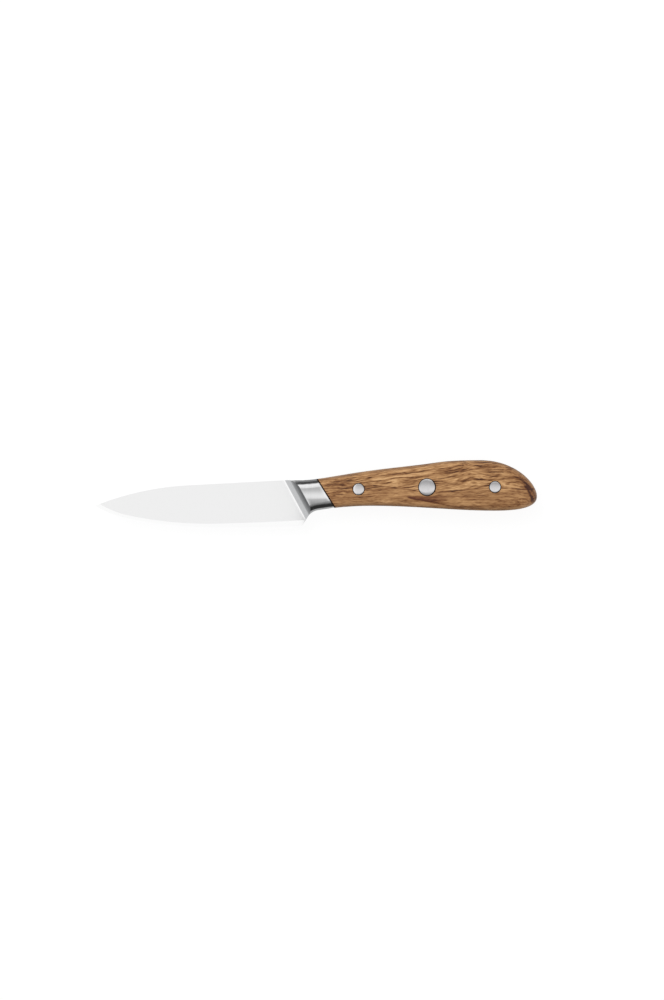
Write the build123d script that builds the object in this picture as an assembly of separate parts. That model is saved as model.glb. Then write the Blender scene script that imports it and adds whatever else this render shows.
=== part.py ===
from build123d import *
import math
import os

os.makedirs("parts", exist_ok=True)

# A paring knife: a forged full-tang blade, a bolster in one piece with it, and riveted wooden scales.
# Lengths are in millimetres and angles in degrees. The knife lies on its right side, with its left side up:
# +X runs from the tip to the butt, +Y from the edge to the spine and +Z out of the left side.
# While it is made, X is zero at the heel, Y on the axis of the grip and Z on the middle plane of the blade.
# At the end it is set down with its box centred over the origin and its lowest point on Z = 0.

# Blade, seen from the side
blade_length = 89.0         # tip to heel
blade_depth = 20.2          # spine at the bolster down to the lowest point of the edge
spine_rise = 4.6            # spine at the bolster, above the grip's axis
heel_rise = 0.6             # heel end of the edge, above the lowest point of the edge
heel_round = 2.2            # corner between the edge and the choil
choil_round = 6.0           # hollow corner between the choil and the underside of the bolster
choil_slant = 31.0          # lean of the choil from upright

# Blade, across its thickness
spine_thickness = 1.65      # at the foot of the ramp
heel_thickness = 0.8        # behind the edge at the heel
tip_thickness = 0.6
bevel_angle = 10.0          # each side of the cutting edge
bevel_reach = 3.2           # how far in from the edge the bevel can go
bevel_overrun = 1.5         # how far the grinding of the bevel runs past the edge, the heel and the tip
edge_thickness = 0.04

# Handle, seen from the side
grip_length = 100.5         # heel to butt
swell_rise = 13.2           # highest point of the back, above the grip's axis
swell_drop = 8.45           # lowest point of the underside, below the grip's axis

# Handle, across its thickness
grip_thickness = 15.6       # widest point
widest_inset = 32.5         # widest point, ahead of the butt
swell_radius = 440.0       # lengthwise curve of each side at the swell
taper_angle = 2.3           # slope of each side from the swell down to the bolster
butt_thickness = 8.4        # at the end of the butt, before the edges are rounded
butt_taper_length = 16.0    # the last stretch, where the sides draw in
side_flat = 4.4             # level middle of each side, between its two crowns
crown_radius = 22.0         # where each side starts to fall towards back and underside
crown_angle = 10.0          # slope that the fall ends in
edge_round = 3.6            # rounding along the back, the butt, the underside and the choil

# Bolster
ramp_lead = 7.5             # foot of the ramp at the spine, ahead of the heel
ramp_slant = 28.3           # lean of the ramp's foot from upright
cove_radius = 10.5          # hollow of the ramp
cove_foot_angle = 30.0      # slope at the ramp's foot
cove_head_angle = 60.0      # slope where the ramp meets the side of the bolster
blank_lead = 6.5            # how far the bolster's blank reaches ahead of the ramp's foot
heel_clear = 2.6            # how far above the heel it ends
blade_lap = 1.1             # how far the blade's blank runs in under the ramp
seam_station = 6.35        # seam at the level of the spine, behind the heel
seam_slant = 32.0           # lean of the seam from upright

# Tang and the resin that the scales are bedded in
tang_thickness = 2.2
bed_thickness = 0.15
seam_gap = 0.6

# Rivets: each is a post from the left side, pressed into a sleeve from the right side
end_head_diameter = 4.6
middle_head_diameter = 7.0
middle_dome_radius = 20.0
middle_head_stand = 0.05    # how far the middle heads stand out of the wood
seat_height = 4.2           # floor of each counterbore, above the middle plane
sleeve_diameter = 3.4
post_diameter = 2.2
shank_clearance = 0.1       # round the sleeve in the scales
tang_clearance = 0.2        # round the sleeve in the tang
post_end_gap = 0.5          # between the end of the post and the bottom of the sleeve
sleeve_end_gap = 0.4        # between the end of the sleeve and the head of the post
ring_width = 0.35           # resin round each head
ring_recess = 0.06          # how far the resin lies below the wood

# Rivet centres, above the grip's axis: one behind the seam, one ahead of the butt and one between them
front_rivet_inset = 17.75
front_rivet_rise = 0.75
middle_rivet_rise = 1.6
rear_rivet_inset = 18.15
rear_rivet_rise = 1.7

overrun = 12.0              # how far cutters and blanks reach past the piece
touch = 0.001               # points closer together than this count as touching

# Points of the outline. On the blade: shares of its length ahead of the heel and of its depth below the
# spine. On the back and the underside: shares of the grip's length and of the swell's rise or drop.
tip_share = (1.0, 0.543)
spine_curve_share = (0.554, 0.109)
edge_low_share = (0.415, 1.0)
belly_end_share = (0.846, 0.807)
neck_back_share = (-0.008, 0.350)
back_shares = [(0.120, 0.458), (0.274, 0.645), (0.530, 0.881)]
swell_top_share = (0.7585, 1.0)
butt_end_share = (1.0, 0.272)
swell_low_share = (0.820, 1.0)
underside_shares = [(0.615, 0.912)]
waist_share = (0.296, 0.753)
neck_underside_share = (0.085, 0.943)

# How full the butt is: how far its curves run on level from the swell, and upright from the butt's end
back_level_share = 0.63
back_upright_share = 0.35
underside_level_share = 0.72
underside_upright_share = 0.66

# How much of a straight side the rounding of a corner may take, where another corner shares it or where none does
choil_side_share = 0.6
heel_side_share = 0.35
free_side_share = 0.95
wall_share = 0.9            # how much of a wall the rounding of its rim may take

middle_rivet_share = 0.502  # of the way from the front rivet to the rear one

forward = Vector(-1, 0)
up = Vector(0, 1)
outward = Vector(0, 0, 1)


def on_blade(share):
    """Point of the blade's outline."""
    return Vector(-share[0] * blade_length, spine_rise - share[1] * blade_depth)


def on_back(share):
    """Point of the outline along the back of the grip."""
    return Vector(share[0] * grip_length, share[1] * swell_rise)


def on_underside(share):
    """Point of the outline along the underside of the grip."""
    return Vector(share[0] * grip_length, -share[1] * swell_drop)


def lean(angle):
    """Direction in the side view that points up and leans towards the tip by an angle."""
    return Vector(-math.sin(math.radians(angle)), math.cos(math.radians(angle)))


def meeting_point(start, direction, other_start, other_direction):
    """Point where two straight lines of the side view cross."""
    turn = direction.X * other_direction.Y - direction.Y * other_direction.X
    gap = other_start - start
    return start + direction * ((gap.X * other_direction.Y - gap.Y * other_direction.X) / turn)


tip = on_blade(tip_share)
heel = Vector(0, spine_rise - blade_depth + heel_rise)
ramp_top = Vector(-ramp_lead, spine_rise)


def edge_curves():
    """Cutting edge: three arcs that run into each other, from heel to tip."""
    low = on_blade(edge_low_share)
    heel_arc = TangentArc(low, heel, tangent=-forward)
    belly_arc = TangentArc(low, on_blade(belly_end_share), tangent=forward)
    tip_arc = TangentArc(belly_arc @ 1, tip, tangent=belly_arc % 1)
    return [heel_arc, belly_arc, tip_arc]


def butt_curve(swell_point, level_share, upright_share):
    """Curve from the top of the swell, or from its lowest point, round to the end of the butt."""
    end = on_underside(butt_end_share)
    level = Vector(swell_point.X + level_share * (end.X - swell_point.X), swell_point.Y)
    upright = Vector(end.X, end.Y + upright_share * (swell_point.Y - end.Y))
    return Bezier(swell_point, level, upright, end)


def fitting_radius(radius, corner, sides):
    """Radius of a corner, limited where its sides are too short: each side is its far end and the share to use."""
    (first_end, first_share), (second_end, second_share) = sides
    first, second = corner - first_end, second_end - corner
    half_turn = math.radians(first.get_angle(second)) / 2
    return min(radius, min(first.length * first_share, second.length * second_share) / math.tan(half_turn))


def outline_face():
    """Side view of the whole knife: spine, back, butt, underside, choil and cutting edge."""
    curve_start = on_blade(spine_curve_share)
    spine_line = Line(curve_start, ramp_top)
    spine_arc = TangentArc(curve_start, tip, tangent=-(spine_line % 0))
    back = Spline(ramp_top, on_back(neck_back_share), *map(on_back, back_shares), on_back(swell_top_share),
                  tangents=[spine_line % 1, -forward])
    butt_back = butt_curve(back @ 1, back_level_share, back_upright_share)
    butt_underside = butt_curve(on_underside(swell_low_share), underside_level_share, underside_upright_share)
    underside = Spline(butt_underside @ 0, *map(on_underside, underside_shares), on_underside(waist_share),
                       tangents=[forward, forward])
    neck = TangentArc(underside @ 1, on_underside(neck_underside_share), tangent=forward)
    choil_corner = meeting_point(neck @ 1, neck % 1, heel, lean(-choil_slant))
    face = Face(Wire([spine_arc, spine_line, back, butt_back, butt_underside, underside, neck,
                      Line(neck @ 1, choil_corner), Line(choil_corner, heel), *edge_curves()]))
    low = on_blade(edge_low_share)
    choil_radius = fitting_radius(choil_round, choil_corner,
                                  ((neck @ 1, free_side_share), (heel, choil_side_share)))
    heel_radius = fitting_radius(heel_round, heel, ((choil_corner, heel_side_share), (low, free_side_share)))
    for corner, radius in ((choil_corner, choil_radius), (heel, heel_radius)):
        face = face.fillet_2d(radius, [face.vertices().sort_by_distance(corner)[0]])
    return face


def side_section():
    """Section of the grip's left side: level in the middle, and falling away on an arc and a slope to either side."""
    crown = JernArc((side_flat / 2, 0), (1, 0), crown_radius, -crown_angle)
    other_crown = JernArc((-side_flat / 2, 0), (-1, 0), crown_radius, crown_angle)
    slope = Line(crown @ 1, crown @ 1 + (crown % 1) * overrun)
    other_slope = Line(other_crown @ 1, other_crown @ 1 + (other_crown % 1) * overrun)
    base = [Vector(end.X, -grip_thickness - overrun) for end in (slope @ 1, other_slope @ 1)]
    return Face(Wire([Line(other_crown @ 0, crown @ 0), crown, slope, Line(slope @ 1, base[0]), Line(*base),
                      Line(base[1], other_slope @ 1), other_slope, other_crown]))


def side_envelope():
    """Solid whose top is the left side of the grip: its section led along a taper, the swell and the butt."""
    widest_station = grip_length - widest_inset
    swell_turn = math.degrees(math.asin((widest_inset - butt_taper_length) / swell_radius))
    widest = Vector(widest_station, 0, grip_thickness / 2)
    swell_axis = Axis(widest - outward * swell_radius, up)
    at_widest = Plane(origin=widest, x_dir=up, z_dir=-forward) * side_section()
    taper_end = at_widest.rotate(swell_axis, -taper_angle)
    swell = revolve(taper_end, swell_axis, taper_angle + swell_turn)
    taper_length = widest_station + ramp_lead + blank_lead + overrun
    taper = extrude(taper_end, taper_length, forward.rotate(Axis.Y, -taper_angle))

    butt_start = at_widest.rotate(swell_axis, swell_turn)
    start = widest.rotate(swell_axis, swell_turn)
    chord = Vector(grip_length, 0, butt_thickness / 2) - start
    inward = (swell_axis.position - start).normalized()
    butt_radius = chord.length ** 2 / (2 * chord.dot(inward))
    butt_axis = Axis(start + inward * butt_radius, up)
    butt_turn = math.degrees(2 * math.asin(chord.length / (2 * butt_radius)))
    butt = revolve(butt_start, butt_axis, butt_turn)
    butt_end = butt_start.rotate(butt_axis, butt_turn)
    end = extrude(butt_end, overrun, (-forward).rotate(Axis.Y, swell_turn + butt_turn))
    return taper + swell + butt + end


def slanted_plane(point, angle):
    """Plane square to the blade through a point of the side view, facing the butt."""
    facing = lean(angle).cross(outward)
    return Plane(origin=point, x_dir=lean(angle), z_dir=facing)


def is_left_rim(edge, closures):
    """Whether an edge of the grip's blank lies between its wall and its left side."""
    start, middle, end = edge @ 0, edge @ 0.5, edge @ 1
    on_closure = any(abs((middle - plane.origin).dot(plane.z_dir)) < touch for plane in closures)
    across = abs(start.X - end.X) < touch and abs(start.X - middle.X) < touch
    return min(start.Z, end.Z) > 0 and not on_closure and not across


def rim_radius():
    """Rounding of the grip's rims, limited by the wall at the front of the bolster's blank, where it is lowest."""
    taper_length = grip_length - widest_inset + ramp_lead + blank_lead
    half_thickness = grip_thickness / 2 - taper_length * math.tan(math.radians(taper_angle))
    angle = math.radians(crown_angle)
    slope_reach = -heel.Y - heel_clear - side_flat / 2 - crown_radius * math.sin(angle)
    fall = crown_radius * (1 - math.cos(angle)) + slope_reach * math.tan(angle)
    return min(edge_round, wall_share * 2 * (half_thickness - fall))


def grip_blank():
    """Grip and bolster before the ramp is cut, rounded all along the back, the butt and the underside."""
    envelope = side_envelope()
    closures = [Plane(origin=(-ramp_lead - blank_lead, 0, 0), z_dir=-forward),
                Plane(origin=(0, heel.Y + heel_clear, 0), z_dir=up)]
    blank = extrude(outline, overrun, both=True) & envelope & mirror(envelope, Plane.XY)
    for closure in closures:
        blank = split(blank, closure, keep=Keep.TOP)
    rounded = fillet([edge for edge in blank.edges() if is_left_rim(edge, closures)], rim_radius())
    left_half = split(rounded, Plane.XY, keep=Keep.TOP)
    return left_half + mirror(left_half, Plane.XY)


def side_cutter():
    """Everything to grind away from the left side: down to the flat of the blade, and the hollow ramp."""
    foot = Vector(ramp_top.X, ramp_top.Y, spine_thickness / 2)
    across = Vector(heel.X, heel.Y, heel_thickness / 2) - foot
    along = Vector(tip.X, tip.Y, tip_thickness / 2) - foot
    normal = along.cross(across).normalized()
    rising = lean(ramp_slant)
    foot_line = (rising - outward * (rising.dot(normal) / normal.Z)).normalized()
    plane = Plane(origin=foot, x_dir=foot_line.cross(normal), z_dir=-foot_line)

    foot_angle = math.radians(cove_foot_angle)
    head_angle = math.radians(cove_head_angle)
    head = Vector(cove_radius * (math.sin(head_angle) - math.sin(foot_angle)),
                  cove_radius * (math.cos(foot_angle) - math.cos(head_angle)))
    cove = TangentArc((0, 0), head, tangent=(math.cos(foot_angle), math.sin(foot_angle)))
    top = Vector(head.X + (overrun - head.Y) / math.tan(head_angle), overrun)
    far = -blade_length - overrun
    profile = Face(Wire([cove, Line(head, top), Line(top, (far, overrun)), Line((far, overrun), (far, 0)),
                         Line((far, 0), (0, 0))]))
    return extrude(plane * profile, blade_depth + overrun, both=True)


def bevel_cutter():
    """Wedge to grind away from the left side along the cutting edge."""
    curves = edge_curves()
    heel_curve = Line(heel + (curves[0] % 1) * bevel_overrun, heel)
    tip_curve = Line(tip, tip + (curves[2] % 1) * bevel_overrun)
    path = Wire([heel_curve, *curves, tip_curve])
    slope = math.tan(math.radians(bevel_angle))
    half_edge = edge_thickness / 2
    profile = Face(Wire.make_polygon([(half_edge - bevel_overrun * slope, -bevel_overrun),
                                      (half_edge + bevel_reach * slope, bevel_reach),
                                      (tang_thickness, bevel_reach), (tang_thickness, -bevel_overrun)]))
    start = Plane(origin=heel_curve @ 0, x_dir=outward, z_dir=heel_curve % 0)
    return sweep(start * profile, path)


def bar(rivet, diameter, low, high):
    """Round bar along a rivet's line, between two heights above the middle plane."""
    return Pos(rivet["station"], rivet["rise"], low) * extrude(Circle(diameter / 2), high - low)


def forging():
    """Blade, bolster and tang in one piece."""
    under_ramp = slanted_plane(ramp_top - forward * blade_lap, ramp_slant)
    blade_blank = split(extrude(outline, tang_thickness / 2, both=True), under_ramp, keep=Keep.BOTTOM)
    tang = split(grip, seam, keep=Keep.TOP)
    for middle_plane in (Plane.XY, -Plane.XY):
        tang = split(tang, middle_plane.offset(tang_thickness / 2), keep=Keep.BOTTOM)
    piece = blade_blank + split(grip, seam, keep=Keep.BOTTOM) + tang
    for cutter in (side_cutter(), bevel_cutter()):
        piece = piece - cutter - mirror(cutter, Plane.XY)
    for rivet in rivets.values():
        piece = piece - bar(rivet, sleeve_diameter + 2 * tang_clearance, -overrun, overrun)
    return piece


def scale_blank():
    """Left scale before it is bored."""
    behind_seam = split(grip, seam.offset(seam_gap), keep=Keep.TOP)
    return split(behind_seam, Plane.XY.offset(tang_thickness / 2 + bed_thickness), keep=Keep.TOP)


def scale():
    """Left scale, counterbored for the heads and drilled for the sleeves."""
    piece = scale_blank()
    for rivet in rivets.values():
        piece = piece - bar(rivet, rivet["head"] + 2 * ring_width, seat_height, overrun)
        piece = piece - bar(rivet, sleeve_diameter + 2 * shank_clearance, 0, overrun)
    return piece


def resin_bed():
    """Resin under the left scale, with the thin wall that it forms against the bolster."""
    piece = split(split(grip, seam, keep=Keep.TOP), Plane.XY.offset(tang_thickness / 2), keep=Keep.TOP)
    piece = piece - scale_blank()
    for rivet in rivets.values():
        piece = piece - bar(rivet, sleeve_diameter + 2 * shank_clearance, 0, overrun)
    return piece


def rivet_head(rivet):
    """Left head of a rivet, ground to the shape of the wood or to a low dome."""
    blank = bar(rivet, rivet["head"], seat_height, overrun)
    if not rivet["domed"]:
        return blank & grip
    raised = blank & Pos(0, 0, middle_head_stand) * grip
    centre_height = raised.bounding_box().max.Z - middle_dome_radius
    return raised & Pos(rivet["station"], rivet["rise"], centre_height) * Sphere(middle_dome_radius)


def rivet_post(rivet):
    """Solid half of a rivet, with its head on the left side."""
    return rivet_head(rivet) + bar(rivet, post_diameter, post_end_gap - seat_height, seat_height)


def rivet_sleeve(rivet):
    """Hollow half of a rivet, with its head on the right side."""
    shank = bar(rivet, sleeve_diameter, -seat_height, seat_height - sleeve_end_gap)
    bore = bar(rivet, post_diameter, -seat_height, seat_height)
    return mirror(rivet_head(rivet), Plane.XY) + (shank - bore)


def resin_ring(rivet):
    """Resin round the left head of a rivet, a little below the wood."""
    outer = bar(rivet, rivet["head"] + 2 * ring_width, seat_height, overrun)
    return (outer - bar(rivet, rivet["head"], seat_height, overrun)) & Pos(0, 0, -ring_recess) * grip


front_station = seam_station + front_rivet_inset
rear_station = grip_length - rear_rivet_inset
middle_station = front_station + middle_rivet_share * (rear_station - front_station)
rivets = {
    "front": {"station": front_station, "rise": front_rivet_rise, "head": end_head_diameter, "domed": False},
    "middle": {"station": middle_station, "rise": middle_rivet_rise, "head": middle_head_diameter, "domed": True},
    "rear": {"station": rear_station, "rise": rear_rivet_rise, "head": end_head_diameter, "domed": False},
}

outline = outline_face()
grip = grip_blank()
seam = slanted_plane(Vector(seam_station, spine_rise), seam_slant)

left_scale = scale()
left_resin_bed = resin_bed()
nodes = {
    "blade": forging(),
    "left_scale": left_scale,
    "right_scale": mirror(left_scale, Plane.XY),
    "left_resin_bed": left_resin_bed,
    "right_resin_bed": mirror(left_resin_bed, Plane.XY),
}
for name, rivet in rivets.items():
    left_ring = resin_ring(rivet)
    nodes[name + "_rivet_post"] = rivet_post(rivet)
    nodes[name + "_rivet_sleeve"] = rivet_sleeve(rivet)
    nodes[name + "_left_resin_ring"] = left_ring
    nodes[name + "_right_resin_ring"] = mirror(left_ring, Plane.XY)

centring = Pos((blade_length - grip_length) / 2, (blade_depth - spine_rise - swell_rise) / 2, grip_thickness / 2)
for name, shape in nodes.items():
    export_step(centring * shape, "parts/" + name + ".step")
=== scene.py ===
import math

import bpy
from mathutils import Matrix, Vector


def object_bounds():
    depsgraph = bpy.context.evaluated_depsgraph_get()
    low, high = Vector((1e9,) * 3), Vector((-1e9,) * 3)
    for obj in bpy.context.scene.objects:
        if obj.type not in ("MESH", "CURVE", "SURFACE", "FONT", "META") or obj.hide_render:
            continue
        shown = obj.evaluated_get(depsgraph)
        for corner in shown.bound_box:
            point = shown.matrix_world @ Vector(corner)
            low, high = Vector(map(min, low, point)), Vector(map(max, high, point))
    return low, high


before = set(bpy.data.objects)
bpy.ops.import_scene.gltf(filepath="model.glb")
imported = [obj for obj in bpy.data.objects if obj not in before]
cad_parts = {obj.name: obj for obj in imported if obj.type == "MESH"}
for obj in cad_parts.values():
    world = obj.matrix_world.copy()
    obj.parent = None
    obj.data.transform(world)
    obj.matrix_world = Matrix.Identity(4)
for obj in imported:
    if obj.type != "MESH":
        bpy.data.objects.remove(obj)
cad_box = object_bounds()

# A paring knife lying on its right side, seen from straight above on a white ground.
# The frame is in metres. The materials measure places on the knife in millimetres: X runs from the tip to
# the butt, Y from the edge to the spine and Z out of the left side.
MM = 0.001

# How a screen codes a colour
SCREEN_WHITE = 255
SCREEN_OFFSET = 0.055
SCREEN_POWER = 2.4

# The middle of two tones, and the value about which Blender's noise goes up and down
HALF = 0.5

# The detail of most noise, and of noise with smooth patches
USUAL_DETAIL = 2.0
SMOOTH_DETAIL = 1.0

# Places of the colour sockets on Blender's Mix node
MIX_FIRST = 6
MIX_SECOND = 7
MIX_RESULT = 2


def linear(red, green, blue):
    """Colour given as it shows on a screen, from 0 to 255, as the shaders take it."""
    shares = [channel / SCREEN_WHITE for channel in (red, green, blue)]
    return tuple(((share + SCREEN_OFFSET) / (1 + SCREEN_OFFSET)) ** SCREEN_POWER for share in shares) + (1.0,)


def grey(tone):
    """Grey of a tone from 0, black, to 1, white, as the shaders take it."""
    return (tone, tone, tone, 1.0)


class Graph:
    """A node tree with short calls that place a node and give back what it puts out."""

    def __init__(self, tree):
        self.tree = tree

    def put(self, socket, value):
        """Join a socket to another node, or set its number, vector or colour."""
        if isinstance(value, bpy.types.NodeSocket):
            self.tree.links.new(value, socket)
        elif value is not None:
            socket.default_value = value

    def node(self, kind, *values, **settings):
        """Place a node, with its settings and the values of its first sockets."""
        node = self.tree.nodes.new("ShaderNode" + kind)
        for name, value in settings.items():
            setattr(node, name, value)
        for socket, value in zip(node.inputs, values):
            self.put(socket, value)
        return node

    def calc(self, operation, *values):
        """Number worked out from other numbers."""
        return self.node("Math", *values, operation=operation).outputs[0]

    def total(self, *values):
        """Sum of several numbers."""
        result = values[0]
        for value in values[1:]:
            result = self.calc("ADD", result, value)
        return result

    def product(self, *values):
        """Product of several numbers."""
        result = values[0]
        for value in values[1:]:
            result = self.calc("MULTIPLY", result, value)
        return result

    def minus(self, first, second):
        """The first number less the second."""
        return self.calc("SUBTRACT", first, second)

    def vector(self, operation, *values):
        """Vector worked out from other vectors."""
        return self.node("VectorMath", *values, operation=operation).outputs[0]

    def join(self, x, y, z):
        """Vector with this X, Y and Z."""
        return self.node("CombineXYZ", x, y, z).outputs[0]

    def parts(self, vector):
        """The X, Y and Z of a vector, by name."""
        return self.node("SeparateXYZ", vector).outputs

    def dot(self, first, second):
        """Length of one vector along another."""
        return self.node("VectorMath", first, second, operation="DOT_PRODUCT").outputs["Value"]

    def length(self, vector):
        """Length of a vector."""
        return self.node("VectorMath", vector, operation="LENGTH").outputs["Value"]

    def noise(self, place, patch, detail=USUAL_DETAIL):
        """Uneven value about zero, whose patches have this size along X, Y and Z."""
        node = self.node("TexNoise")
        self.put(node.inputs["Vector"], self.vector("MULTIPLY", place, tuple(1 / size for size in patch)))
        self.put(node.inputs["Scale"], 1.0)
        self.put(node.inputs["Detail"], detail)
        return self.minus(node.outputs[0], HALF)

    def patches(self, place, patch, limits, detail=USUAL_DETAIL):
        """1 in patches where the noise is above both limits, and 0 where it is below both."""
        return self.rise(self.noise(place, patch, detail), *limits)

    def rise(self, value, low, high):
        """Smooth step from 0 at low to 1 at high, where low may also be the larger of the two."""
        node = self.node("MapRange", interpolation_type="SMOOTHSTEP")
        self.put(node.inputs["Value"], value)
        self.put(node.inputs["From Min"], low)
        self.put(node.inputs["From Max"], high)
        return node.outputs[0]

    def within(self, value, start, full, fading, end):
        """1 from full to fading, with smooth steps down to 0 at start and at end."""
        return self.product(self.rise(value, start, full), self.rise(value, end, fading))

    def ridge(self, value, crest, width):
        """1 where a value is at the crest, falling to 0 on both sides over about twice the width."""
        off_crest = self.calc("DIVIDE", self.minus(value, crest), width)
        return self.calc("EXPONENT", self.product(off_crest, off_crest, -1.0))

    def between(self, share, first, second):
        """Number that goes from the first to the second as the share goes from 0 to 1."""
        return self.node("Mix", share, None, first, second, data_type="FLOAT").outputs[0]

    def tint(self, share, first, second):
        """Colour that goes from the first to the second as the share goes from 0 to 1."""
        node = self.node("Mix", share, data_type="RGBA")
        self.put(node.inputs[MIX_FIRST], first)
        self.put(node.inputs[MIX_SECOND], second)
        return node.outputs[MIX_RESULT]

    def colours(self, value, stops):
        """Colour read off a scale of colours at a value from 0 to 1."""
        node = self.node("ValToRGB", value)
        scale = node.color_ramp.elements
        while len(scale) < len(stops):
            scale.new(1.0)
        for mark, (position, colour) in zip(scale, stops):
            mark.position = position
            mark.color = colour
        return node.outputs[0]

    def bump(self, height, distance, strength=1.0):
        """Normal of a surface that has this height, in shares of a distance in metres."""
        node = self.node("Bump")
        self.put(node.inputs["Height"], height)
        self.put(node.inputs["Distance"], distance)
        self.put(node.inputs["Strength"], strength)
        return node.outputs[0]

    def use(self, group, **values):
        """Place a node group, with the values of its inputs by name."""
        node = self.tree.nodes.new("ShaderNodeGroup")
        node.node_tree = group
        for name, value in values.items():
            self.put(node.inputs[name.replace("_", " ")], value)
        return node.outputs

    def show(self, shader):
        """Make a shader the surface of the material."""
        self.put(self.tree.nodes["Material Output"].inputs["Surface"], shader.outputs[0])


def effect(name, inputs, outputs):
    """Empty node group with named inputs and outputs: its graph, what comes in and where the results go."""
    tree = bpy.data.node_groups.new(name, "ShaderNodeTree")
    for label, kind, start in inputs:
        socket = tree.interface.new_socket(label, in_out="INPUT", socket_type="NodeSocket" + kind)
        socket.default_value = start
    for label, kind in outputs:
        tree.interface.new_socket(label, in_out="OUTPUT", socket_type="NodeSocket" + kind)
    return Graph(tree), tree.nodes.new("NodeGroupInput").outputs, tree.nodes.new("NodeGroupOutput").inputs


def blank_material(name):
    """New material and its graph."""
    material = bpy.data.materials.new(name)
    material.use_nodes = True
    return material, Graph(material.node_tree)


def finish(name, **settings):
    """New material, its graph, its shader's inputs, the place on the knife in millimetres and coordinates."""
    material, graph = blank_material(name)
    inputs = material.node_tree.nodes["Principled BSDF"].inputs
    for label, value in settings.items():
        inputs[label.replace("_", " ")].default_value = value
    coordinates = graph.node("TexCoord").outputs
    place = graph.vector("MULTIPLY", coordinates["Object"], (1 / MM,) * 3)
    return material, graph, inputs, place, coordinates


def stage_piece(name, corners, faces, material):
    """Piece of the stage with these corners and faces."""
    mesh = bpy.data.meshes.new(name)
    mesh.from_pydata(corners, [], faces)
    mesh.materials.append(material)
    piece = bpy.data.objects.new(name, mesh)
    bpy.context.scene.collection.objects.link(piece)
    return piece


# Wood: where its streaks run

# The level of the grip's underside, its depth at the swell, and how its spine climbs up to the swell's place
UNDERSIDE_LEVEL = -6.0
GRIP_DEPTH = 18.0
SPINE_SLOPE = 0.125
SWELL_PLACE = 66.0

# The slow and the quick sway of the streaks: the size of their patches and how far they push a streak
SLOW_SWAY_PATCH = (26.0, 6.0, 6.0)
SLOW_SWAY = 2.4
QUICK_SWAY_PATCH = (6.0, 1.4, 1.4)
QUIET_SWAY = 0.45
LIVELY_SWAY = 1.5

# The places between which the quick sway grows from quiet, further back, to lively, near the bolster
LIVELY_PLACES = (30.0, 8.0)


def streak_level(graph, along, across):
    """Level of the streak through a place: it leans with the spine above and is level at the underside."""
    upper_share = graph.calc("DIVIDE", graph.minus(across, UNDERSIDE_LEVEL), GRIP_DEPTH)
    climb = graph.product(graph.calc("MINIMUM", along, SWELL_PLACE), SPINE_SLOPE)
    return graph.minus(across, graph.product(upper_share, climb))


def streak_sway(graph, along, straight):
    """How far the streaks sway from their level."""
    lively = graph.between(graph.rise(along, *LIVELY_PLACES), QUIET_SWAY, LIVELY_SWAY)
    slow = graph.product(graph.noise(straight, SLOW_SWAY_PATCH), SLOW_SWAY)
    return graph.total(slow, graph.product(graph.noise(straight, QUICK_SWAY_PATCH), lively))


# Wood: the dark wavy line that parts lively golden wood above it from calmer wood below

# Its level, its humps by place, half width and height, and how much of the sway it follows
PARTING_LEVEL = -1.6
PARTING_HUMPS = [(27.0, 14.0, 3.0), (74.0, 5.0, 0.9)]
PARTING_SWAY_SHARE = 0.4

# The half width of the line, the patches that break it, and where the calm wood starts and is calmest
PARTING_WIDTH = 0.22
PARTING_PATCH = (7.0, 9.0, 9.0)
PARTING_LIMITS = (-0.16, 0.02)
CALM_LEVELS = (0.2, -0.5)


def parted_wood(graph, straight, level, sway, figure_place):
    """1 in the calm wood below the parting line, and 1 on the line itself."""
    humps = [graph.product(graph.ridge(figure_place, middle, width), height)
             for middle, width, height in PARTING_HUMPS]
    above_line = graph.minus(graph.total(level, graph.product(sway, PARTING_SWAY_SHARE)),
                             graph.total(PARTING_LEVEL, *humps))
    calm = graph.rise(above_line, *CALM_LEVELS)
    unbroken = graph.patches(straight, PARTING_PATCH, PARTING_LIMITS)
    return calm, graph.product(graph.ridge(above_line, 0.0, PARTING_WIDTH), unbroken)


# Wood: the dark growth lines along the grip

# Their levels and half widths, the patches in which they are strong, and their faintest and strongest shade
GROWTH_LINES = [(0.6, 0.16), (2.1, 0.14), (3.4, 0.14), (4.6, 0.14)]
GROWTH_PATCH = (10.0, 2.0, 2.0)
GROWTH_LIMITS = (-0.1, 0.12)
GROWTH_SHADES = (0.1, 0.42)


def growth_shade(graph, straight, swayed_level):
    """How much darker the growth lines make the wood."""
    lines = [graph.ridge(swayed_level, line_level, width) for line_level, width in GROWTH_LINES]
    strength = graph.between(graph.patches(straight, GROWTH_PATCH, GROWTH_LIMITS), *GROWTH_SHADES)
    return graph.product(graph.total(*lines), strength)


# Wood: the dark bands under the rim of the butt

# The oval that the butt follows past the swell: the level of its middle and its half axes
BUTT_LEVEL = -1.5
BUTT_HALF_LENGTH = 28.6
BUTT_HALF_DEPTH = 15.8

# Depth below the rim, half width, lowest and highest place, and shade of each band
BUTT_BANDS = [(0.55, 0.34, -3.5, 8.5, 0.75), (1.4, 0.4, -4.5, 5.0, 0.85), (2.4, 0.35, 1.0, 9.0, 0.35)]

# The bands come nearer to the rim as they go down, fade out at both ends, wobble and are patchy
BUTT_BAND_LEAN = 0.19
BUTT_BAND_FADE = 2.0
BUTT_WOBBLE_PATCH = (3.0, 3.0, 3.0)
BUTT_WOBBLE = 0.7
BUTT_PATCH = (2.5, 2.5, 2.5)
BUTT_LIMITS = (-0.12, 0.08)
BUTT_STRENGTHS = (0.3, 1.0)

# Where the wood counts as near the rim: shares of the way out to it, and places along the grip
NEAR_RIM_SHARES = (0.78, 0.92)
NEAR_RIM_PLACES = (80.0, 86.0)


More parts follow.
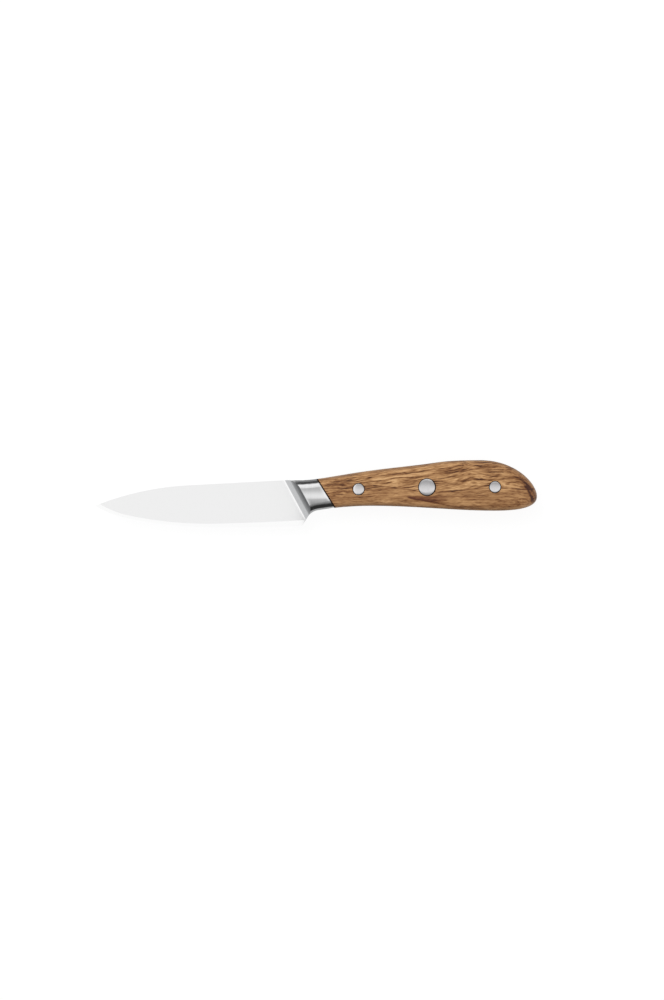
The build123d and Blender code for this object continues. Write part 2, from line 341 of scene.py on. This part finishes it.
def butt_rim(graph, place, along, across):
    """Depth of a place below the rim of the butt, as its bands follow it, and 1 near that rim."""
    past_swell = graph.calc("MAXIMUM", graph.minus(along, SWELL_PLACE), 0.0)
    from_middle = graph.join(graph.product(past_swell, BUTT_HALF_DEPTH / BUTT_HALF_LENGTH),
                             graph.minus(across, BUTT_LEVEL), 0.0)
    oval = graph.length(from_middle)
    near_rim = graph.product(graph.rise(oval, *[share * BUTT_HALF_DEPTH for share in NEAR_RIM_SHARES]),
                             graph.rise(along, *NEAR_RIM_PLACES))
    wobble = graph.product(graph.noise(place, BUTT_WOBBLE_PATCH), BUTT_WOBBLE)
    depth = graph.total(graph.minus(BUTT_HALF_DEPTH, oval), graph.product(across, -BUTT_BAND_LEAN), wobble)
    return depth, near_rim


def butt_shade(graph, place, across, rim_depth, near_rim):
    """How much darker the bands under the rim make the wood."""
    patchy = graph.between(graph.patches(place, BUTT_PATCH, BUTT_LIMITS), *BUTT_STRENGTHS)
    bands = []
    for depth, width, low, high, shade in BUTT_BANDS:
        span = graph.within(across, low, low + BUTT_BAND_FADE, high - BUTT_BAND_FADE, high)
        bands.append(graph.product(graph.ridge(rim_depth, depth, width), span, shade))
    return graph.product(graph.total(*bands), patchy, near_rim)


# Wood: the tongue of dark heartwood under the middle rivet

# Its tip, how its lower edge falls, how much of the sway it follows, and its soft lower and upper limit
TONGUE_TIP = (39.3, -1.7)
TONGUE_SLOPE = 0.19
TONGUE_SWAY_SHARE = 0.3
TONGUE_FLOOR = (-0.3, 0.1)
TONGUE_ROOF = (1.0, 0.2)

# From the tip on: where the tongue and its dark lower edge start, are full, begin to fade and end
TONGUE_SPAN = (-0.4, 0.8, 3.0, 22.0)
TONGUE_EDGE_SPAN = (-0.4, 1.5, 8.0, 32.0)
TONGUE_EDGE_WIDTH = 0.35


def dark_tongue(graph, across, sway, figure_place):
    """1 in the tongue, pointed towards the blade, and 1 on its dark lower edge, which runs on past it."""
    past_tip = graph.minus(figure_place, TONGUE_TIP[0])
    above_tip = graph.total(graph.minus(across, TONGUE_TIP[1]), graph.product(sway, TONGUE_SWAY_SHARE))
    above_edge = graph.total(above_tip, graph.product(past_tip, TONGUE_SLOPE))
    tongue = graph.product(graph.rise(above_edge, *TONGUE_FLOOR), graph.rise(above_tip, *TONGUE_ROOF),
                           graph.within(past_tip, *TONGUE_SPAN))
    edge = graph.product(graph.ridge(above_edge, 0.0, TONGUE_EDGE_WIDTH),
                         graph.within(past_tip, *TONGUE_EDGE_SPAN))
    return tongue, edge


# Wood: a faint knot near the butt and a small golden fleck

# The knot's middle, its stretch, the warp of its rings, their width, and the radii between which they fade
KNOT = (89.3, -3.1)
KNOT_STRETCH = (0.8, 1.0, 0.0)
KNOT_WARP_PATCH = (3.6, 2.4, 2.4)
KNOT_WARP = 2.0
KNOT_RING = 1.0
KNOT_FADE = (4.2, 2.0)

# The fleck's middle, its stretch and its size
FLECK = (80.6, 3.9)
FLECK_STRETCH = (1.0, 1.3, 0.0)
FLECK_SIZE = 0.5


def stretched_distance(graph, place, middle, stretch):
    """Distance from a middle on the side of the knife, counted with a stretch along X, Y and Z."""
    return graph.length(graph.vector("MULTIPLY", graph.vector("SUBTRACT", place, (*middle, 0)), stretch))


def knot_and_fleck(graph, place):
    """Light and dark rings of the knot, from -1 to 1, and 1 in the fleck."""
    warp = graph.product(graph.noise(place, KNOT_WARP_PATCH, SMOOTH_DETAIL), KNOT_WARP)
    radius = graph.total(stretched_distance(graph, place, KNOT, KNOT_STRETCH), warp)
    rings = graph.calc("SINE", graph.product(radius, 2 * math.pi / KNOT_RING))
    fleck = graph.ridge(stretched_distance(graph, place, FLECK, FLECK_STRETCH), 0.0, FLECK_SIZE)
    return graph.product(rings, graph.rise(radius, *KNOT_FADE)), fleck


# Wood: its fibres and its tone

# Sizes of the patches of golden streaks, dark dashes, fibres, pores and broad changes of tone
STREAK_PATCH = (9.0, 0.5, 0.5)
DASH_PATCH = (4.0, 0.3, 0.3)
FIBRE_PATCH = (2.2, 0.15, 0.15)
PORE_PATCH = (6.0, 0.22, 0.22)
BROAD_PATCH = (22.0, 2.2, 2.2)

# The limits of the noise between which streaks, dashes and pores come up, and shifts that keep them apart
STREAK_LIMITS = (-0.1, 0.1)
DASH_LIMITS = (0.02, 0.15)
PORE_LIMITS = (0.1, 0.2)
DASH_SHIFT = (31.0, 7.0, 3.0)
PORE_SHIFT = (5.0, 19.0, 11.0)

# How much of the contrast is left in the calm wood and near the rim of the butt
CALM_CONTRAST = 0.55
RIM_CONTRAST = 0.5

# The tone goes from 0, dark, to 1, golden: where it starts and what each feature adds
BASE_TONE = 0.46
STREAK_TONE = 0.4
DASH_TONE = -0.31
CALM_TONE = 0.05
BROAD_TONE = 0.9
FIBRE_TONE = 0.95
PORE_TONE = -0.25
PARTING_TONE = -0.42
TONGUE_TONE = -0.36
TONGUE_EDGE_TONE = -0.4
KNOT_TONE = 0.06
FLECK_TONE = 0.35

# How much heartwood shows on the tongue's edge, where the tongue has 1, and how high fibres and pores stand
EDGE_HEARTWOOD = 0.5
FIBRE_HEIGHT = 0.6
PORE_HEIGHT = -1.0


def grain_effect():
    """Oiled hardwood whose streaks follow the grip, with growth lines, pores, a dark tongue and a knot."""
    graph, given, result = effect(
        "oiled_grain",
        [("Place", "Vector", (0, 0, 0)), ("Shift", "Vector", (0, 0, 0)), ("Figure Shift", "Float", 0.0)],
        [("Tone", "Float"), ("Heartwood", "Float"), ("Height", "Float")])
    place = given["Place"]
    part = graph.parts(place)
    along, across = part["X"], part["Y"]
    figure_place = graph.minus(along, given["Figure Shift"])
    level = streak_level(graph, along, across)
    straight = graph.vector("ADD", graph.join(along, level, part["Z"]), given["Shift"])
    sway = streak_sway(graph, along, straight)
    bent = graph.vector("ADD", straight, graph.join(0.0, sway, 0.0))

    calm, parting = parted_wood(graph, straight, level, sway, figure_place)
    tongue, tongue_edge = dark_tongue(graph, across, sway, figure_place)
    rim_depth, near_rim = butt_rim(graph, place, along, across)
    knot, fleck = knot_and_fleck(graph, place)

    streaks = graph.patches(bent, STREAK_PATCH, STREAK_LIMITS, SMOOTH_DETAIL)
    dashes = graph.patches(graph.vector("ADD", bent, DASH_SHIFT), DASH_PATCH, DASH_LIMITS, SMOOTH_DETAIL)
    pores = graph.patches(graph.vector("ADD", bent, PORE_SHIFT), PORE_PATCH, PORE_LIMITS)
    fibres = graph.noise(bent, FIBRE_PATCH)
    broad = graph.noise(straight, BROAD_PATCH)
    contrast = graph.product(graph.between(calm, 1.0, CALM_CONTRAST),
                             graph.between(near_rim, 1.0, RIM_CONTRAST))

    plain_tone = graph.total(
        BASE_TONE, graph.product(streaks, STREAK_TONE, contrast), graph.product(dashes, DASH_TONE, contrast),
        graph.product(calm, CALM_TONE), graph.product(broad, BROAD_TONE), graph.product(fibres, FIBRE_TONE),
        graph.product(pores, PORE_TONE))
    figure_tone = graph.total(
        graph.product(parting, PARTING_TONE), graph.product(tongue, TONGUE_TONE),
        graph.product(tongue_edge, TONGUE_EDGE_TONE), graph.product(knot, KNOT_TONE),
        graph.product(fleck, FLECK_TONE))
    shade = graph.total(growth_shade(graph, straight, graph.total(level, sway)),
                        butt_shade(graph, place, across, rim_depth, near_rim))
    height = graph.total(graph.product(fibres, FIBRE_HEIGHT), graph.product(pores, PORE_HEIGHT))

    graph.put(result["Tone"], graph.minus(graph.total(plain_tone, figure_tone), shade))
    graph.put(result["Heartwood"], graph.calc("MAXIMUM", tongue, graph.product(tongue_edge, EDGE_HEARTWOOD)))
    graph.put(result["Height"], height)
    return graph.tree


# Wood: its finish
WOOD_TONES = [
    (0.00, linear(66, 30, 10)),
    (0.20, linear(106, 64, 31)),
    (0.40, linear(142, 97, 57)),
    (0.58, linear(165, 120, 77)),
    (0.75, linear(182, 137, 91)),
    (0.90, linear(201, 154, 104)),
    (1.00, linear(216, 172, 122)),
]
WOOD_ROUGHNESS = 0.42
WOOD_GLOSS = 0.35
WOOD_RELIEF = 0.04 * MM
WOOD_RELIEF_STRENGTH = 0.6

# The red of the heartwood, and a painted grey sheen where the sides turn down: its colour, how much of it
# shows, and how level the surface is where it starts and where it is full
HEARTWOOD = linear(106, 56, 33)
HEARTWOOD_SHARE = 0.6
EDGE_SHEEN_PAINT = linear(98, 76, 58)
EDGE_SHEEN_SHARE = 0.35
EDGE_SHEEN_TURN = (0.85, 0.4)

# Each scale has its own place in the plank, and its own place of the figures along the grip
PLANK_PLACES = {"left_scale": ((0.0, 0.0, 0.0), 0.0), "right_scale": ((140.0, 31.0, 57.0), -17.0)}


def wood_finish(name, grain, shift, figure_shift):
    """Oiled wood of one scale, cut from its own place in the plank."""
    material, graph, inputs, place, coordinates = finish(
        name, Roughness=WOOD_ROUGHNESS, Specular_IOR_Level=WOOD_GLOSS)
    made = graph.use(grain, Place=place, Shift=shift, Figure_Shift=figure_shift)
    reddened = graph.tint(graph.product(made["Heartwood"], HEARTWOOD_SHARE),
                          graph.colours(made["Tone"], WOOD_TONES), HEARTWOOD)
    level_face = graph.calc("ABSOLUTE", graph.parts(coordinates["Normal"])["Z"])
    # Painted grey sheen on the sides where they turn down from level
    painted_edge_sheen = graph.product(graph.rise(level_face, *EDGE_SHEEN_TURN), EDGE_SHEEN_SHARE)
    graph.put(inputs["Base Color"], graph.tint(painted_edge_sheen, reddened, EDGE_SHEEN_PAINT))
    graph.put(inputs["Normal"], graph.bump(made["Height"], WOOD_RELIEF, WOOD_RELIEF_STRENGTH))
    return material


# Steel: fine lines, by their length and width
SATIN_LINES = (7.0, 0.1)
POLISH_LINES = (9.0, 0.45)
RIVET_LINES = (3.0, 0.08)


def brushing_effect():
    """Fine lines left by a wheel or a belt: even, shallow and all one way."""
    length, width = SATIN_LINES
    graph, given, result = effect(
        "fine_brushing",
        [("Place", "Vector", (0, 0, 0)), ("Line Length", "Float", length), ("Line Width", "Float", width)],
        [("Line", "Float")])
    narrow = graph.calc("DIVIDE", 1.0, given["Line Width"])
    long = graph.calc("DIVIDE", 1.0, given["Line Length"])
    scaled = graph.vector("MULTIPLY", given["Place"], graph.join(narrow, long, narrow))
    graph.put(result["Line"], graph.noise(scaled, (1.0, 1.0, 1.0)))
    return graph.tree


def brushed(graph, brushing, place, lines):
    """Brushed lines of a length and a width, as an uneven value about zero."""
    length, width = lines
    return graph.use(brushing, Place=place, Line_Length=length, Line_Width=width)["Line"]


# Steel: the forging of blade, ramp, bolster and tang

# The foot of the ramp between blade and bolster, how the ramp leans, and the way across it to the butt
RAMP_FOOT = (-13.25, 5.8)
RAMP_LEAN = math.radians(28.3)
ACROSS_RAMP = (math.cos(RAMP_LEAN), math.sin(RAMP_LEAN), 0)

# Counted across the ramp from its foot: where the satin of the flats ends before a painted highlight line,
# where the blade ends, where the painted dark reflection of the ramp's middle and head comes in, and where
# the bolster starts
SATIN_END_AT_PAINTED_HIGHLIGHT = (-0.3, -0.9)
BLADE_END = (0.12, -0.12)
RAMP_MIDDLE_START = (1.8, 2.4)
RAMP_HEAD_START = (2.1, 4.0)
BOLSTER_START = (1.4, 1.9)

# A face that leans towards the tip counts as ramp further on, and one that lies level enough is a flat
LEAN_REACH = 3.0
FLAT_LIMITS = (0.992, 0.996)

# Tones of the steel, darker and lighter, and how rough it is; the ramp's tones are a painted dark reflection
BRIGHT_STEEL = linear(251, 251, 251)
SATIN_TONES = (linear(237, 237, 237), linear(241, 241, 241))
RAMP_FOOT_PAINTED_TONES = (linear(184, 185, 186), linear(210, 211, 212))
RAMP_MIDDLE_PAINTED_TONES = (linear(138, 139, 140), linear(166, 167, 168))
RAMP_HEAD_PAINTED_TONES = (linear(86, 87, 88), linear(116, 117, 118))
POLISHED_TONES = (linear(238, 239, 240), BRIGHT_STEEL)
SATIN_ROUGHNESS = 0.3
BEVEL_ROUGHNESS = 0.14
RAMP_ROUGHNESS = 0.4
BOLSTER_ROUGHNESS = 0.1

# The speckle of the ramp, the lines in the polish, and the relief of the satin lines
SPECKLE_PATCH = (0.22, 0.22, 0.22)
SPECKLE_DETAIL = 3.0
POLISH_MIDDLE = 0.6
POLISH_CONTRAST = 1.4
SATIN_RELIEF = 0.002 * MM


def ramp_painted_reflection(graph, place, from_foot):
    """Matt speckled colour of the ramp with a painted dark reflection, which darkens from its foot to its
    head.
    """
    speckle = graph.total(HALF, graph.noise(place, SPECKLE_PATCH, SPECKLE_DETAIL))
    foot, middle, head = [graph.tint(speckle, *tones)
                          for tones in (RAMP_FOOT_PAINTED_TONES, RAMP_MIDDLE_PAINTED_TONES, RAMP_HEAD_PAINTED_TONES)]
    upper = graph.tint(graph.rise(from_foot, *RAMP_HEAD_START), middle, head)
    return graph.tint(graph.rise(from_foot, *RAMP_MIDDLE_START), foot, upper)


def steel_finish(brushing):
    """Forged steel: satin flats, a bright bevel, a matt hollow ramp with a painted dark reflection, a painted
    highlight line at its foot and a polished bolster.
    """
    material, graph, inputs, place, coordinates = finish("forged_steel", Metallic=1.0)
    normal = coordinates["Normal"]
    from_foot = graph.dot(graph.vector("SUBTRACT", place, (*RAMP_FOOT, 0)), ACROSS_RAMP)
    lean = graph.product(graph.dot(normal, ACROSS_RAMP), LEAN_REACH)
    on_blade = graph.rise(from_foot, *BLADE_END)
    on_bolster = graph.rise(graph.total(from_foot, lean), *BOLSTER_START)
    level_face = graph.rise(graph.calc("ABSOLUTE", graph.parts(normal)["Z"]), *FLAT_LIMITS)
    flat = graph.product(graph.rise(from_foot, *SATIN_END_AT_PAINTED_HIGHLIGHT), level_face)
    satin_line = brushed(graph, brushing, place, SATIN_LINES)
    polish_line = graph.product(brushed(graph, brushing, place, POLISH_LINES), POLISH_CONTRAST)

    # Off the level flats the steel is bright: polish on the bevel, and a painted highlight line along the
    # ramp's foot
    blade = graph.tint(flat, BRIGHT_STEEL, graph.tint(graph.total(HALF, satin_line), *SATIN_TONES))
    # The ramp gets a painted dark reflection, darker towards its head
    ground = graph.tint(on_blade, ramp_painted_reflection(graph, place, from_foot), blade)
    polished = graph.tint(graph.total(POLISH_MIDDLE, polish_line), *POLISHED_TONES)
    graph.put(inputs["Base Color"], graph.tint(on_bolster, ground, polished))

    blade_roughness = graph.between(flat, BEVEL_ROUGHNESS, SATIN_ROUGHNESS)
    ground_roughness = graph.between(on_blade, RAMP_ROUGHNESS, blade_roughness)
    graph.put(inputs["Roughness"], graph.between(on_bolster, ground_roughness, BOLSTER_ROUGHNESS))
    relief = graph.product(satin_line, graph.minus(1.0, on_bolster))
    graph.put(inputs["Normal"], graph.bump(relief, SATIN_RELIEF))
    return material


# Resin
RESIN_TONES = (linear(28, 16, 9), linear(48, 30, 19))
RESIN_PATCH = (2.5, 2.5, 2.5)
RESIN_ROUGHNESS = 0.4
RESIN_GLOSS = 0.12


def resin_finish():
    """Dark brown resin with a low gloss and a slow change of tone."""
    material, graph, inputs, place, _ = finish(
        "dark_resin", Roughness=RESIN_ROUGHNESS, Specular_IOR_Level=RESIN_GLOSS)
    cloud = graph.total(HALF, graph.noise(place, RESIN_PATCH))
    graph.put(inputs["Base Color"], graph.tint(cloud, *RESIN_TONES))
    return material


# Rivets: a head falls away from its middle as a low dome, and more quickly at its rim, in millimetres
RIVET_TONES = (linear(222, 220, 221), linear(238, 236, 237))
RIVET_ROUGHNESS = 0.22
RIVET_CONTRAST = 1.5
DOME_POWER = 2.0
DOME_FALL = -0.12
RIM_POWER = 10.0
RIM_FALL = -0.08


def rivet_finish(brushing):
    """Rivet heads: finely ground, with a low dome and a rounded rim."""
    material, graph, inputs, place, coordinates = finish(
        "ground_rivets", Metallic=1.0, Roughness=RIVET_ROUGHNESS)
    lines = graph.product(brushed(graph, brushing, place, RIVET_LINES), RIVET_CONTRAST)
    graph.put(inputs["Base Color"], graph.tint(graph.total(HALF, lines), *RIVET_TONES))

    # Generated coordinates go from 0 to 1 across a rivet, and the radius is 1 at the rim of its head
    radius = graph.length(graph.vector("MULTIPLY_ADD", coordinates["Generated"], (2, 2, 0), (-1, -1, 0)))
    dome = graph.product(graph.calc("POWER", radius, DOME_POWER), DOME_FALL)
    rim = graph.product(graph.calc("POWER", radius, RIM_POWER), RIM_FALL)
    graph.put(inputs["Normal"], graph.bump(graph.total(dome, rim), MM))
    return material


def dress(brushing, grain):
    """Give every node of the frame its finish."""
    steel = steel_finish(brushing)
    rivets = rivet_finish(brushing)
    resin = resin_finish()
    for name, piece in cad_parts.items():
        if name in PLANK_PLACES:
            material = wood_finish(name + "_wood", grain, *PLANK_PLACES[name])
        elif "resin" in name:
            material = resin
        elif "rivet" in name:
            material = rivets
        else:
            material = steel
        for slot in piece.material_slots:
            slot.material = material


# Studio: half round tents of light and dark strips, close over the knife, which only polished metal shows

# An apron goes along the floor from each foot of a tent to near the knife. The lift keeps it off the floor.
TENT_RADIUS = 28 * MM
TENT_RIBS = 64
TENT_APRON_END = 9 * MM
TENT_LIFT = 0.2 * MM

# The strips go from the floor below the edge of the knife, over the top, to the floor beyond its spine: each
# stop is a share of that half circle and the tone there
BOLSTER_STRIPS = [
    (0.0, 0.42), (0.03, 0.3), (0.08, 0.03), (0.27, 0.025), (0.31, 0.06), (0.35, 0.19), (0.4, 0.3),
    (0.43, 0.4), (0.453, 0.5), (0.468, 0.8), (0.486, 0.86), (0.5, 0.78), (0.516, 0.54), (0.528, 0.48),
    (0.572, 0.78), (0.6, 0.88), (0.69, 0.94), (0.725, 0.4), (0.765, 0.06), (0.88, 0.06), (0.94, 0.2),
    (1.0, 0.24),
]
RIVET_STRIPS = [
    (0.0, 0.25), (0.4, 0.26), (0.435, 0.42), (0.465, 0.84), (0.49, 0.92), (0.515, 0.86), (0.54, 0.7),
    (0.575, 0.5), (0.615, 0.38), (0.65, 0.75), (0.75, 0.95), (1.0, 0.6),
]

# The bolster's tent: its left edge at Y = 0 and that edge's limits, its right edge at Y = 0 and that edge's
# slope and limit, and the share of its width over which it fades out at an edge
BOLSTER_TENT_LEFT = -8.8 * MM
BOLSTER_TENT_LEFT_LIMITS = (-11.5 * MM, -5.6 * MM)
BOLSTER_TENT_RIGHT = 3.7 * MM
BOLSTER_TENT_RIGHT_SLOPE = 0.41
BOLSTER_TENT_RIGHT_LIMIT = 2.4 * MM
BOLSTER_TENT_SOFT_SHARE = 0.2

# The tent of the rivets: its two edges, and the share of its width over which it fades out at an edge
RIVET_TENT_EDGES = (12 * MM, 96 * MM)
RIVET_TENT_SOFT_SHARE = 0.04


def bolster_tent_edges(y):
    """Edges of the bolster's tent: the left leans with the ramp, the right stops a little before the seam."""
    lowest, highest = BOLSTER_TENT_LEFT_LIMITS
    left = min(max(BOLSTER_TENT_LEFT - y * math.tan(RAMP_LEAN), lowest), highest)
    right = max(BOLSTER_TENT_RIGHT - BOLSTER_TENT_RIGHT_SLOPE * y, BOLSTER_TENT_RIGHT_LIMIT)
    return left, right


def rivet_tent_edges(y):
    """Edges of the tent of the rivets, which are the same at every Y."""
    return RIVET_TENT_EDGES


def strip_glow(name, strips, soft_share):
    """Glow of a tent in strips, on its inside alone, which fades out towards the tent's two edges."""
    material, graph = blank_material(name)
    place = graph.parts(graph.node("TexCoord").outputs["Object"])
    turn = graph.calc("ARCTAN2", place["Z"], graph.product(place["Y"], -1.0))
    stops = [(end, grey(tone)) for end, tone in strips]
    glow = graph.node("Emission", graph.colours(graph.calc("DIVIDE", turn, math.pi), stops))
    from_left = graph.node("Attribute", attribute_name="from_left").outputs["Fac"]
    faded = graph.minus(1.0, graph.within(from_left, 0.0, soft_share, 1.0 - soft_share, 1.0))
    clear = graph.calc("MAXIMUM", graph.node("NewGeometry").outputs["Backfacing"], faded)
    graph.show(graph.node("MixShader", clear, glow.outputs[0], graph.node("BsdfTransparent").outputs[0]))
    material.cycles.emission_sampling = "NONE"
    return material


def strip_tent(name, strips, edges, soft_share):
    """Half round tent of strips between two edges that may change with Y, seen by glossy rays alone."""
    turns = [math.pi * rib / TENT_RIBS for rib in range(TENT_RIBS + 1)]
    arch = [(-TENT_RADIUS * math.cos(turn), TENT_RADIUS * math.sin(turn)) for turn in turns]
    arch = [(-TENT_APRON_END, TENT_LIFT)] + arch + [(TENT_APRON_END, TENT_LIFT)]
    corners = [(x, y, z + TENT_LIFT) for y, z in arch for x in edges(y)]
    lefts = range(0, len(corners), 2)
    faces = [(left, after, after + 1, left + 1) for left, after in zip(lefts, lefts[1:])]
    tent = stage_piece(name, corners, faces, strip_glow(name, strips, soft_share))
    from_left = tent.data.attributes.new("from_left", "FLOAT", "POINT")
    from_left.data.foreach_set("value", [0.0, 1.0] * len(arch))
    for rays in ("camera", "diffuse", "transmission", "volume_scatter", "shadow"):
        setattr(tent, "visible_" + rays, False)


# Studio: ground, sky and lamp
WHITE = grey(1.0)

# The floor glows white for the rays that should see a white ground, and its matt rest takes the shadow
FLOOR_REACH = 2.0
FLOOR_TONE = grey(0.9)
FLOOR_GLOW = 1.06
FLOOR_GLOW_SHARE = 0.85

# The sky's strength for the light on the knife, and for the rays that should see a white ground
SKY_LIGHT = 0.72
SKY_SEEN = 1.0

# The lamp's place, the side of its square and its power
KEY_PLACE = (-0.35, 0.5, 0.8)
KEY_SIZE = 0.6
KEY_POWER = 3.5


def white_rays(graph):
    """1 for rays that come from the camera, or by way of a mirror or glass."""
    path = graph.node("LightPath").outputs
    seen = graph.calc("MAXIMUM", path["Is Camera Ray"], path["Is Glossy Ray"])
    return graph.calc("MAXIMUM", seen, path["Is Transmission Ray"])


def white_floor():
    """White floor with a faint shadow."""
    material, graph = blank_material("white_floor")
    matt = graph.node("BsdfDiffuse", FLOOR_TONE)
    glow = graph.node("Emission", WHITE, FLOOR_GLOW)
    share = graph.product(white_rays(graph), FLOOR_GLOW_SHARE)
    graph.show(graph.node("MixShader", share, matt.outputs[0], glow.outputs[0]))
    signs = [(-1, -1), (1, -1), (1, 1), (-1, 1)]
    corners = [(x * FLOOR_REACH, y * FLOOR_REACH, 0) for x, y in signs]
    stage_piece("floor", corners, [(0, 1, 2, 3)], material)


def white_sky():
    """Plain white sky that lights the knife softly."""
    world = bpy.data.worlds.new("white_studio")
    bpy.context.scene.world = world
    world.use_nodes = True
    graph = Graph(world.node_tree)
    background = world.node_tree.nodes["Background"].inputs
    background["Color"].default_value = WHITE
    graph.put(background["Strength"], graph.between(white_rays(graph), SKY_LIGHT, SKY_SEEN))
    world.cycles.sampling_method = "NONE"


def soft_lamp(name, place, size, power):
    """Square soft lamp that faces the knife."""
    lamp = bpy.data.lights.new(name, "AREA")
    lamp.size = size
    lamp.energy = power
    holder = bpy.data.objects.new(name, lamp)
    holder.location = place
    holder.rotation_euler = (-Vector(place)).to_track_quat("-Z", "Y").to_euler()
    holder.visible_glossy = False
    bpy.context.scene.collection.objects.link(holder)


# Camera: the picture's height, the size of a pixel on the knife, and the place under the picture's middle
PHOTO_HEIGHT_PX = 1000
PIXEL_SIZE = 0.4292 * MM
VIEW_CENTRE = (6.99 * MM, -2.67 * MM)
LENS_LENGTH = 120.0
SENSOR_SIZE = 36.0


def camera():
    """Camera straight above the knife, with the spine up in the picture."""
    data = bpy.data.cameras.new("photo_camera")
    data.lens = LENS_LENGTH
    data.sensor_width = SENSOR_SIZE
    holder = bpy.data.objects.new("photo_camera", data)
    middle = (cad_box[0].z + cad_box[1].z) / 2
    distance = PHOTO_HEIGHT_PX * PIXEL_SIZE * LENS_LENGTH / SENSOR_SIZE
    holder.location = (*VIEW_CENTRE, middle + distance)
    bpy.context.scene.collection.objects.link(holder)
    bpy.context.scene.camera = holder


bpy.context.scene.view_settings.view_transform = "Standard"
dress(brushing_effect(), grain_effect())
white_floor()
white_sky()
strip_tent("bolster_tent", BOLSTER_STRIPS, bolster_tent_edges, BOLSTER_TENT_SOFT_SHARE)
strip_tent("rivet_tent", RIVET_STRIPS, rivet_tent_edges, RIVET_TENT_SOFT_SHARE)
soft_lamp("key_lamp", KEY_PLACE, KEY_SIZE, KEY_POWER)
camera()
